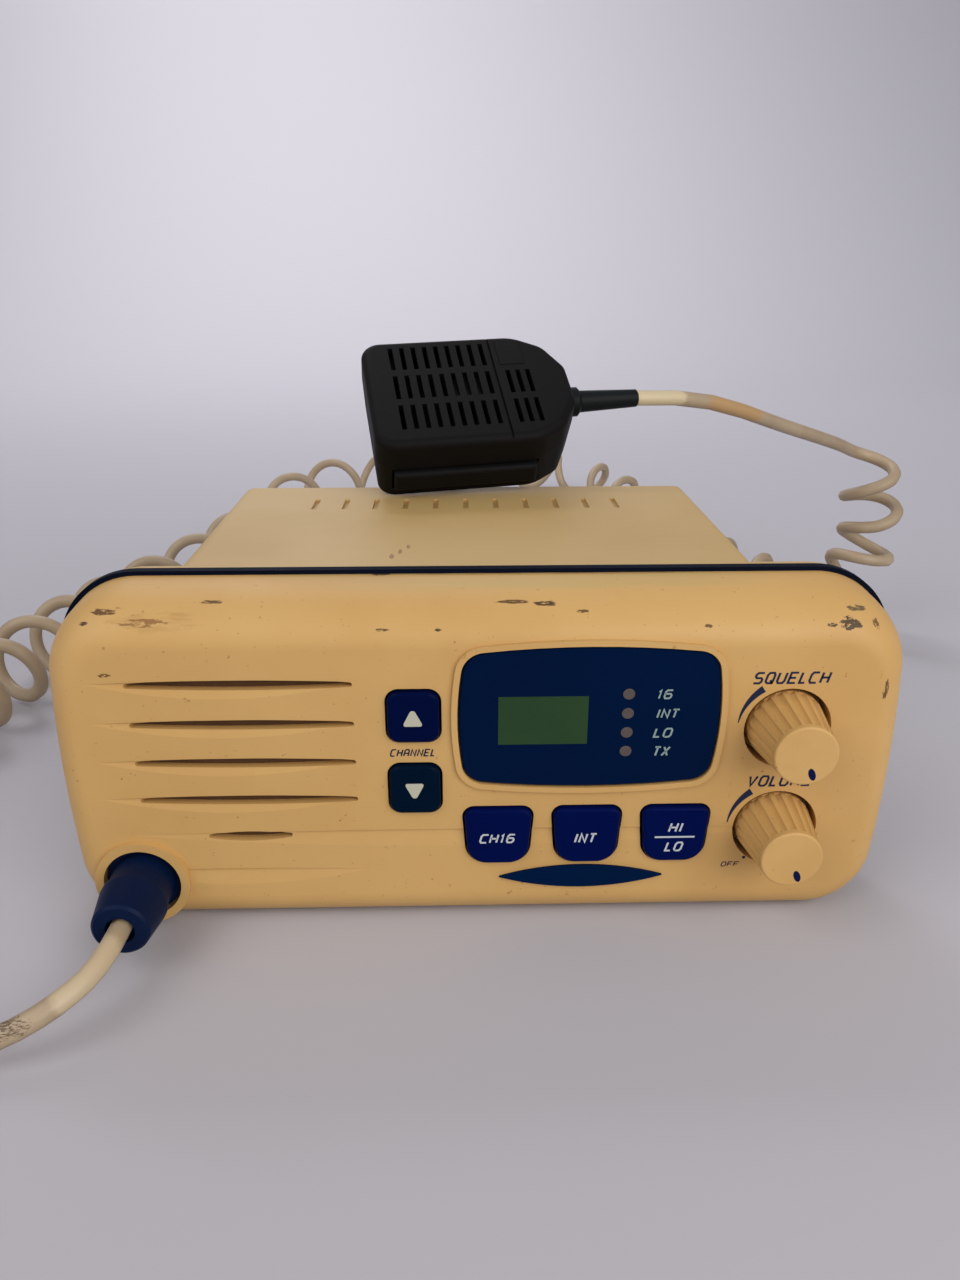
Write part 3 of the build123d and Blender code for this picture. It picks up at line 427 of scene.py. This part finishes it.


# Finishes. Each patch of wear, dirt or painted shade has its middle, its reach, the scale it breaks up at,
# its cover and its colour, and where they differ from the usual its strength and its softness.
scuffBlack = (44, 30, 16)
dirtBrown = (140, 98, 52)
nickBrown = (84, 56, 26)
controlPlaces = {"squelchArc": (67.2, 50.1), "volumeArc": (67.2, 24.7)}
creamFacts = {"colour": (207, 166, 103), "tint": (196, 152, 89), "tintAmount": 0.55, "patch": 22.0,
              "grain": 1400.0, "roughness": 0.45, "bump": 0.25, "bumpDepth": 0.00005, "specular": 0.3}
bezelFinish = finishOf("agedCream", **creamFacts)
bezelFinish.scuffAndShade((10, 15, 80), (110, 12, 4), 3, 0.75, (188, 164, 104), 0.6, 0.4)
bezelFinish.scuffAndShade((10, 17.6, 80.3), (80, 1.4, 1.5), 9, 0.52, dirtBrown)
bezelFinish.scuffAndShade((-68, 3, 75), (22, 6, 5), 3, 0.6, (176, 136, 76), 0.5, 0.25)
bezelFinish.specks(330, 0.7, dirtBrown, 0.5)
bezelFinish.specks(900, 0.69, nickBrown, 0.6)
nicks = [
    ((80.4, 4.6, 76.4), (5, 2.4, 1.3), 2.2, 0.6, (88, 74, 54)),
    ((78.4, 1.7, 74.1), (5, 3.6, 2.8), 3.2, 0.56, scuffBlack),
    ((74.3, 1.4, 73.8), (2.4, 1.6, 0.9), 2.6, 0.58, scuffBlack),
    ((84.5, 2.5, 74), (2, 3, 3), 3, 0.56, nickBrown),
    ((7.2, 6.4, 77.8), (7, 1.6, 0.7), 2.4, 0.6, nickBrown),
    ((14, 5.9, 77.5), (5.5, 2, 0.9), 2.8, 0.6, scuffBlack),
    ((21.8, 4, 76.4), (3, 1.3, 0.6), 2.6, 0.58, nickBrown),
    ((-56.7, 6.9, 78.1), (5, 1.6, 0.6), 2.6, 0.6, nickBrown),
    ((-79.1, 4.8, 76.8), (6, 2.6, 1.2), 3, 0.58, nickBrown),
    ((-83.1, 3.5, 74.7), (2.4, 1.4, 0.9), 2.4, 0.6, scuffBlack),
    ((-70.1, 2.4, 75), (10, 3, 2), 3.4, 0.54, dirtBrown),
    ((-21.7, 17.6, 80.4), (4, 1.6, 1), 2.6, 0.6, nickBrown),
    ((-20.6, 1.3, 73.6), (3, 1.2, 0.6), 2.6, 0.58, nickBrown),
    ((-8.9, 1.2, 73.5), (1.6, 1.2, 0.6), 2.2, 0.6, scuffBlack),
    ((-79.1, 0, 64.3), (2.6, 1, 0.9), 2.6, 0.58, nickBrown),
    ((48, 1.4, 73.8), (2, 1.4, 0.8), 2.6, 0.56, nickBrown),
    ((87.5, 0.4, 59), (1.4, 1.5, 6), 3, 0.54, nickBrown),
]
for nick in nicks:
    bezelFinish.scuffAndShade(*nick)
dress(bezelFinish.done(), "front_bezel")
knobFinish = finishOf("agedCreamKnobPaintedShade", **{**creamFacts, "patch": 60.0})
# Painted shade: each knob is darkened round its sides and in its flutes, where shade falls.
for x, z in controlPlaces.values():
    knobFinish.scuffAndShade((x, 1, z), (13, 12, 13), 1.5, 0.95, (142, 112, 62), 0.75, 0.5)
knobFinish.specks(600, 0.7, dirtBrown)
dress(knobFinish.done(), "squelch_knob", "volume_knob")
caseFinish = finishOf("casePaint", (199, 167, 108), (184, 150, 92), tintAmount=0.6, patch=14.0,
                      grain=1100.0, roughness=0.5)
for x, y in ((-20.2, 32), (-18.4, 36), (-16.6, 40)):
    caseFinish.scuffAndShade((x, y, 80.1), (1, 4, 1), 1.5, 0.62, dirtBrown, 0.8, 0.08)
caseFinish.specks(260, 0.74, dirtBrown)
dress(caseFinish.done(), "rear_case")
micFinish = finishOf("micBlack", (13, 12, 12), (19, 18, 17), roughness=0.6, grain=1800.0, specular=0.1)
micFinish.specks(900, 0.76, (90, 88, 84), 0.4)
dress(micFinish.done(), "mic_front_shell", "mic_rear_shell", "mic_panel", "ptt_bar", "capsule_sleeve")
cordFinish = finishOf("cordJacket", (178, 157, 128), (158, 137, 110), tintAmount=0.6, patch=60.0,
                      grain=1600.0, attribute="restPlace")
# A paler stretch of the jacket next to the microphone's relief, and a darker tan stretch further from it.
cordFinish.scuffAndShade((58, 118, 104), (18, 10, 8), 1, 1.1, (214, 198, 160), 0.8, 0.4)
cordFinish.scuffAndShade((88, 134, 100), (24, 24, 14), 1, 1.1, (186, 146, 92), 0.85, 0.3)
cordFinish.scuffAndShade((-80, -30, 12), (12, 16, 9), 1, 1.1, (206, 186, 152), 0.8, 0.4)
cordFinish.scuffAndShade((-95, -41, 9), (17, 8, 4), 16, 0.53, (86, 66, 44), 0.85)
cordFinish.scuffAndShade((-104, -45, 6), (4, 3, 3), 5, 0.56, (96, 66, 34), 0.8)
cordFinish.specks(700, 0.7, (120, 96, 70), 0.6)
curlyCord.data.materials.append(cordFinish.done())

# Finishes without wear: colour, tint, what differs from the usual, and the pieces that have them
darkGloss = {"specular": 0.03, "bump": 0.05}
plainFinishes = {
    "navySeal": ((6, 12, 28), (10, 18, 36), {"roughness": 0.6, "specular": 0.05}, ["bezel_gasket"]),
    "navyBoot": ((4, 22, 54), (12, 32, 66), {"specular": 0.08}, ["cord_boot"]),
    "navyLens": ((1, 22, 56), (0, 18, 48), {"roughness": 0.22, **darkGloss}, ["display_lens"]),
    "blueKey": ((0, 12, 66), (0, 16, 78), {"roughness": 0.3, **darkGloss},
                ["distress_channel_button", "international_button", "high_low_button"]),
    "upKey": ((0, 10, 52), (0, 14, 62), {"roughness": 0.3, **darkGloss}, ["channel_up_button"]),
    "downKey": ((0, 18, 38), (0, 24, 46), {"roughness": 0.3, **darkGloss}, ["channel_down_button"]),
    "badgeBlue": ((0, 24, 58), (0, 30, 70), {"roughness": 0.25, **darkGloss}, ["oval_badge"]),
    "pointerNavy": ((3, 12, 56), (8, 20, 70), {"roughness": 0.4, "specular": 0.1},
                    ["squelch_pointer", "volume_pointer"]),
    "speakerCloth": ((92, 62, 34), (60, 40, 22),
                     {"roughness": 0.9, "patch": 90.0, "grain": 2500.0, "bump": 0.8, "bumpDepth": 0.0002},
                     ["speaker_cloth"]),
    "reliefBlack": ((16, 22, 22), (22, 28, 28), {"roughness": 0.5, "specular": 0.12},
                    ["mic_strain_relief"]),
    "screwSteel": ((150, 150, 150), (120, 116, 110), {"metallic": 1.0, "roughness": 0.35, "patch": 120.0},
                   ["squelch_shaft", "volume_shaft", "shield_can", "board_screws", "heat_sink_screws",
                    "housing_screws", "mic_screws", "hang_stud", "speaker_frame", "speaker_magnet"]),
    "sinkAlloy": ((56, 56, 60), (70, 70, 74), {"metallic": 0.6, "roughness": 0.5, "patch": 40.0},
                  ["heat_sink"]),
    "socketNickel": ((176, 172, 162), (150, 146, 136), {"metallic": 1.0, "roughness": 0.3},
                     ["antenna_socket"]),
    "contactBrass": ((196, 160, 90), (170, 130, 70), {"metallic": 1.0, "roughness": 0.3},
                     ["antenna_contact", "bracket_inserts"]),
    "boardGreen": ((24, 84, 46), (20, 66, 40), {"roughness": 0.4}, ["front_board", "main_board"]),
    "micInside": ((14, 16, 16), (20, 20, 22), {"roughness": 0.7, "specular": 0.1},
                  ["mic_board", "mic_capsule"]),
    "innerBlack": ((36, 36, 38), (46, 46, 48), {"roughness": 0.6},
                   ["lcd_holder", "squelch_pot", "volume_pot", "ptt_switch", "power_module", "speaker_jack",
                    "speaker_cone"]),
    "matRubber": ((70, 70, 74), (56, 56, 60), {"roughness": 0.8}, ["keypad_mat", "power_grommet"]),
    "displayGreen": ((48, 84, 48), (40, 74, 42), {"roughness": 0.3}, ["lcd_module"]),
    "lampGrey": ((112, 100, 92), (92, 80, 74), {"roughness": 0.4}, ["led_indicators"]),
}
for name, (colour, tint, facts, pieces) in plainFinishes.items():
    dress(finishOf(name, colour, tint, **facts).done(), *pieces)
print("finishes made")

# Inks and small plates
inkFacts = {
    "navy": ("legendNavy", (26, 34, 62), (40, 48, 76), {"roughness": 0.5, "specular": 0.15}),
    "pale": ("legendPale", (196, 200, 204), (170, 176, 186), {}),
    "lens": ("legendLens", (140, 160, 155), (120, 142, 142), {"roughness": 0.4}),
    "arrow": ("legendArrow", (188, 186, 166), (170, 166, 142), {}),
    "window": ("windowGreen", (44, 70, 42), (34, 58, 36), {"roughness": 0.25, "specular": 0.1}),
    "lamp": ("lampLens", (84, 74, 70), (64, 56, 54), {"roughness": 0.35, "patch": 900.0}),
}
inks = {key: finishOf(name, colour, tint, **facts).done()
        for key, (name, colour, tint, facts) in inkFacts.items()}


def settle(thing, name, ink, body):
    thing.name = name
    thing.data.name = name
    thing.data.materials.clear()
    thing.data.materials.append(ink)
    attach(thing, body)


# Letters are drawn as strokes in a box one wide and one high, with cut corners.
letterStrokes = {
    "A": [[(0, 0), (0, 0.8), (0.2, 1), (0.8, 1), (1, 0.8), (1, 0)], [(0, 0.42), (1, 0.42)]],
    "C": [[(1, 1), (0.2, 1), (0, 0.8), (0, 0.2), (0.2, 0), (1, 0)]],
    "E": [[(1, 1), (0, 1), (0, 0), (1, 0)], [(0, 0.5), (0.85, 0.5)]],
    "F": [[(1, 1), (0, 1), (0, 0)], [(0, 0.48), (0.85, 0.48)]],
    "H": [[(0, 0), (0, 1)], [(1, 0), (1, 1)], [(0, 0.5), (1, 0.5)]],
    "I": [[(0.5, 0), (0.5, 1)]],
    "L": [[(0, 1), (0, 0), (1, 0)]],
    "M": [[(0, 0), (0, 1), (0.5, 0.45), (1, 1), (1, 0)]],
    "N": [[(0, 0), (0, 1), (1, 0), (1, 1)]],
    "O": [[(0.2, 0), (0, 0.2), (0, 0.8), (0.2, 1), (0.8, 1), (1, 0.8), (1, 0.2), (0.8, 0), (0.2, 0)]],
    "Q": [[(0.2, 0), (0, 0.2), (0, 0.8), (0.2, 1), (0.8, 1), (1, 0.8), (1, 0.2), (0.8, 0), (0.2, 0)],
          [(0.6, 0.3), (1.05, -0.08)]],
    "S": [[(1, 1), (0.2, 1), (0, 0.85), (0, 0.62), (0.2, 0.5), (0.8, 0.5), (1, 0.38), (1, 0.15), (0.8, 0),
           (0, 0)]],
    "T": [[(0, 1), (1, 1)], [(0.5, 1), (0.5, 0)]],
    "U": [[(0, 1), (0, 0.2), (0.2, 0), (0.8, 0), (1, 0.2), (1, 1)]],
    "V": [[(0, 1), (0.5, 0), (1, 1)]],
    "X": [[(0, 1), (1, 0)], [(0, 0), (1, 1)]],
    "1": [[(0.1, 0.78), (0.55, 1), (0.55, 0)]],
    "6": [[(0.95, 1), (0.2, 1), (0, 0.8), (0, 0.2), (0.2, 0), (0.8, 0), (1, 0.2), (1, 0.4), (0.8, 0.55),
           (0, 0.55)]],
}
letterFacts = {
    "gap": 0.2,
    "narrow": {"I": 0.4, "1": 0.6, "L": 0.8},
    "weight": 0.17,
    "slant": 0.27,
    "sharpest": 0.5,  # keeps the corners of the strokes short
}


def ribbonFaces(line, width):
    verts = []
    for i, point in enumerate(line):
        before = (point - line[i - 1]).normalized() if i else (line[1] - point).normalized()
        after = (line[i + 1] - point).normalized() if i < len(line) - 1 else before
        mitre = (before + after).normalized()
        stretch = width / 2 / max(letterFacts["sharpest"], mitre.dot(after))
        across = Vector((-mitre.y, mitre.x)) * stretch
        verts += [point + across, point - across]
    faces = [(2 * i, 2 * i + 1, 2 * i + 3, 2 * i + 2) for i in range(len(line) - 1)]
    return verts, faces


carriers = {}
markFacts = {"startBack": -30, "lift": 0.04}


# Marks lie on the surface of the piece that carries them, straight behind where they are drawn.
def lay(points, carrier, lift):
    if carrier not in carriers:
        mesh = cadNodes[carrier].data
        corners = [vertex.co for vertex in mesh.vertices]
        carriers[carrier] = BVHTree.FromPolygons(corners, [face.vertices for face in mesh.polygons])
    placed = []
    for x, z in points:
        start = at(x, markFacts["startBack"], z)
        hit = carriers[carrier].ray_cast(start, Vector((0, 1, 0)))[0]
        placed.append((hit or at(x, 0, z)) - Vector((0, lift * millimetre, 0)))
    return placed


def markMesh(name, points, faces, carrier, ink, body, lift=markFacts["lift"]):
    mesh = bpy.data.meshes.new(name)
    mesh.from_pydata(lay(points, carrier, lift), [], faces)
    thing = bpy.data.objects.new(name, mesh)
    bpy.context.scene.collection.objects.link(thing)
    activate(thing)
    bpy.ops.object.mode_set(mode="EDIT")
    bpy.ops.mesh.select_all(action="SELECT")
    bpy.ops.mesh.normals_make_consistent(inside=False)
    bpy.ops.object.mode_set(mode="OBJECT")
    if sum(face.normal.y * face.area for face in mesh.polygons) > 0:  # marks face forwards
        mesh.flip_normals()
    settle(thing, name, inks[ink], body)


# A legend fills the box from left to right and low to high.
def legend(name, words, box, carrier, ink, body):
    left, right, low, high = box
    height = high - low
    lean = height * letterFacts["slant"]
    shares = [letterFacts["narrow"].get(letter, 1.0) for letter in words]
    unit = (right - left - lean) / (sum(shares) + letterFacts["gap"] * (len(words) - 1))
    weight = height * letterFacts["weight"]
    points, faces = [], []
    start = left
    for letter, share in zip(words, shares):
        for stroke in letterStrokes[letter]:
            line = []
            for x, z in stroke:
                up = weight / 2 + z * (height - weight)
                across = start + weight / 2 + x * (unit * share - weight) + up / height * lean
                line.append(Vector((across, low + up)))
            verts, quads = ribbonFaces(line, weight)
            faces += [tuple(index + len(points) for index in quad) for quad in quads]
            points += verts
        start += unit * (share + letterFacts["gap"])
    markMesh(name, points, faces, carrier, ink, body)


def flatMark(name, points, carrier, ink, body, lift=markFacts["lift"]):
    middle = (sum(x for x, _ in points) / len(points), sum(z for _, z in points) / len(points))
    faces = [(i, (i + 1) % len(points), len(points)) for i in range(len(points))]
    markMesh(name, points + [middle], faces, carrier, ink, body, lift)


def boxPoints(left, right, low, high):
    return [(left, low), (right, low), (right, high), (left, high)]


def discPoints(x, z, radius, sides=16):
    angles = [2 * math.pi * i / sides for i in range(sides)]
    return [(x + radius * math.cos(angle), z + radius * math.sin(angle)) for angle in angles]


arcFacts = {"start": 172, "sweep": 49, "steps": 14, "outer": 11.2, "outerGrows": 1.1, "inner": 11.0,
            "innerShrinks": 0.4}


# The arc beside a control widens as the control is turned up.
def controlArc(name, x, z):
    points = []
    steps = arcFacts["steps"]
    for i in range(steps + 1):
        share = i / steps
        angle = math.radians(arcFacts["start"] - arcFacts["sweep"] * share)
        outer = arcFacts["outer"] + arcFacts["outerGrows"] * share
        inner = arcFacts["inner"] - arcFacts["innerShrinks"] * share
        for radius in (outer, inner):
            points.append((x + radius * math.cos(angle), z + radius * math.sin(angle)))
    faces = [(2 * i, 2 * i + 1, 2 * i + 3, 2 * i + 2) for i in range(steps)]
    markMesh(name, points, faces, "front_bezel", "navy", "radio")


# Words, box (left, right, low, high), carrier, ink, body and slot
legendFacts = {
    "channel": ("CHANNEL", (-20.0, -9.6, 44.2, 46.1), "front_bezel", "navy", "radio", "navy_plastic"),
    "squelch": ("SQUELCH", (58.2, 75.4, 60.8, 63.7), "front_bezel", "navy", "radio", "navy_plastic"),
    "volume": ("VOLUME", (59.4, 74.8, 35.5, 38.4), "front_bezel", "navy", "radio", "navy_plastic"),
    "off": ("OFF", (55.7, 60.2, 14.2, 15.6), "front_bezel", "navy", "radio", "navy_plastic"),
    "lamp16": ("16", (37.6, 41.5, 57.8, 60.1), "display_lens", "lens", "radio", "lens"),
    "lampInt": ("INT", (37.8, 43.2, 53.2, 55.5), "display_lens", "lens", "radio", "lens"),
    "lampLo": ("LO", (37.5, 42.1, 48.5, 50.9), "display_lens", "lens", "radio", "lens"),
    "lampTx": ("TX", (37.5, 41.8, 43.9, 46.4), "display_lens", "lens", "radio", "lens"),
    "keyChannel16": ("CH16", (-0.5, 8.1, 22.3, 24.8), "distress_channel_button", "pale", "distress_channel",
                     "blue_key"),
    "keyInternational": ("INT", (21.0, 26.6, 22.1, 24.7), "international_button", "pale", "international",
                         "blue_key"),
    "keyHigh": ("HI", (42.4, 46.2, 24.6, 27.2), "high_low_button", "pale", "high_low", "blue_key"),
    "keyLow": ("LO", (41.9, 46.5, 19.5, 22.1), "high_low_button", "pale", "high_low", "blue_key"),
}
for key, (words, box, carrier, ink, body, slot) in legendFacts.items():
    legend("legend_" + key, words, box, carrier, ink, body)
keyLine = (39.6, 48.7, 23.15, 23.6)
flatMark("legend_keyLine", boxPoints(*keyLine), "high_low_button", "pale", "high_low")

arrowFacts = {
    "middle": -14.6,
    "outline": [(-1.7, -1.9), (-2.0, -1.6), (-1.9, -1.1), (-0.6, 1.5), (-0.3, 1.8), (0.3, 1.8), (0.6, 1.5),
                (1.9, -1.1), (2.0, -1.6), (1.7, -1.9)],
    "keys": [("legend_arrowUp", 54.1, 1, "channel_up"), ("legend_arrowDown", 36.2, -1, "channel_down")],
}
for name, z, turn, key in arrowFacts["keys"]:
    arrow = [(arrowFacts["middle"] + across, z + turn * up) for across, up in arrowFacts["outline"]]
    flatMark(name, arrow, key + "_button", "arrow", key)

displayFacts = {
    "window": (3.8, 23.2, 47.2, 58.7), "windowLift": 0.03,
    "lamps": 4, "lampAcross": 31.8, "lampTop": 59.1, "lampStep": 4.6, "lampRadius": 1.3,
}
for i in range(displayFacts["lamps"]):
    height = displayFacts["lampTop"] - displayFacts["lampStep"] * i
    dot = discPoints(displayFacts["lampAcross"], height, displayFacts["lampRadius"])
    flatMark(f"lampDot_{i + 1}", dot, "display_lens", "lamp", "radio")
flatMark("displayWindow", boxPoints(*displayFacts["window"]), "display_lens", "window", "radio",
         displayFacts["windowLift"])
for name, (x, z) in controlPlaces.items():
    controlArc(name, x, z)
offDot = (61.0, 16.7, 0.4)
flatMark("offDot", discPoints(*offDot), "front_bezel", "navy", "radio")
print("legends printed")

# Floor, backdrop and lamps
stageFacts = {
    "colour": (187, 185, 191), "roughness": 0.8, "specular": 0.2,
    "front": -3000.0, "bend": 900.0, "bendRadius": 500.0, "bendSteps": 16, "top": 4000.0,
    "halfWidth": 4000.0,
    "sky": (196, 193, 205), "room": (240, 240, 246), "roomLight": 0.4,
}
lampFacts = {
    "keyLamp": ((0.5, -0.7, 0.46), (0, -0.05, 0.04), 0.7, 5.2, (1.0, 0.98, 0.95)),
    "fillLamp": ((-0.8, -0.6, 0.95), (0, 0.02, 0.04), 0.9, 5.6, (1.0, 0.98, 0.96)),
    "wallLamp": ((-0.3, 0.9, 1.2), (-0.02, 1.45, 0.6), 0.7, 13.5, (0.98, 0.98, 1.0)),
}


# The floor runs back from the front and turns up into the backdrop.
def makeStage():
    bend = stageFacts["bend"]
    radius = stageFacts["bendRadius"]
    steps = stageFacts["bendSteps"]
    turns = [math.radians(90 * i / steps) for i in range(steps + 1)]
    rows = [(stageFacts["front"], 0.0)]
    rows += [(bend + radius * math.sin(turn), radius * (1 - math.cos(turn))) for turn in turns]
    rows.append((bend + radius, stageFacts["top"]))
    sides = (-stageFacts["halfWidth"], stageFacts["halfWidth"])
    verts = [(x * millimetre, y * millimetre, z * millimetre) for y, z in rows for x in sides]
    faces = [(2 * i, 2 * i + 1, 2 * i + 3, 2 * i + 2) for i in range(len(rows) - 1)]
    mesh = bpy.data.meshes.new("floorSweep")
    mesh.from_pydata(verts, [], faces)
    for face in mesh.polygons:
        face.use_smooth = True
    material = bpy.data.materials.new("floorGrey")
    material.use_nodes = True
    shader = material.node_tree.nodes["Principled BSDF"]
    shader.inputs["Base Color"].default_value = paint(*stageFacts["colour"])
    shader.inputs["Roughness"].default_value = stageFacts["roughness"]
    shader.inputs["Specular IOR Level"].default_value = stageFacts["specular"]
    mesh.materials.append(material)
    floor = bpy.data.objects.new("floorSweep", mesh)
    bpy.context.scene.collection.objects.link(floor)


def areaLamp(name, place, target, size, power, colour):
    data = bpy.data.lights.new(name, "AREA")
    data.energy = power
    data.size = size
    data.color = colour
    lamp = bpy.data.objects.new(name, data)
    bpy.context.scene.collection.objects.link(lamp)
    lamp.location = place
    lamp.rotation_euler = (Vector(target) - Vector(place)).to_track_quat("-Z", "Y").to_euler()


# The room's light is plainer than the backdrop that the camera sees.
def makeWorld():
    world = bpy.data.worlds.new("softRoom")
    bpy.context.scene.world = world
    world.use_nodes = True
    tree = world.node_tree
    room = tree.nodes["Background"]
    room.inputs["Color"].default_value = paint(*stageFacts["room"])
    room.inputs["Strength"].default_value = stageFacts["roomLight"]
    seen = addNode(tree, "ShaderNodeBackground",
                   values={"Color": paint(*stageFacts["sky"]), "Strength": 1.0})
    path = addNode(tree, "ShaderNodeLightPath")
    shown = mathNode(tree, "MAXIMUM", path.outputs["Is Camera Ray"], path.outputs["Is Glossy Ray"])
    shown = mathNode(tree, "MAXIMUM", shown, path.outputs["Is Transmission Ray"])
    mix = addNode(tree, "ShaderNodeMixShader")
    tree.links.new(shown, mix.inputs[0])
    tree.links.new(room.outputs[0], mix.inputs[1])
    tree.links.new(seen.outputs[0], mix.inputs[2])
    tree.links.new(mix.outputs[0], tree.nodes["World Output"].inputs["Surface"])


makeStage()
makeWorld()
for name, facts in lampFacts.items():
    areaLamp(name, *facts)
bpy.context.scene.view_settings.view_transform = "Standard"
print("stage lit")
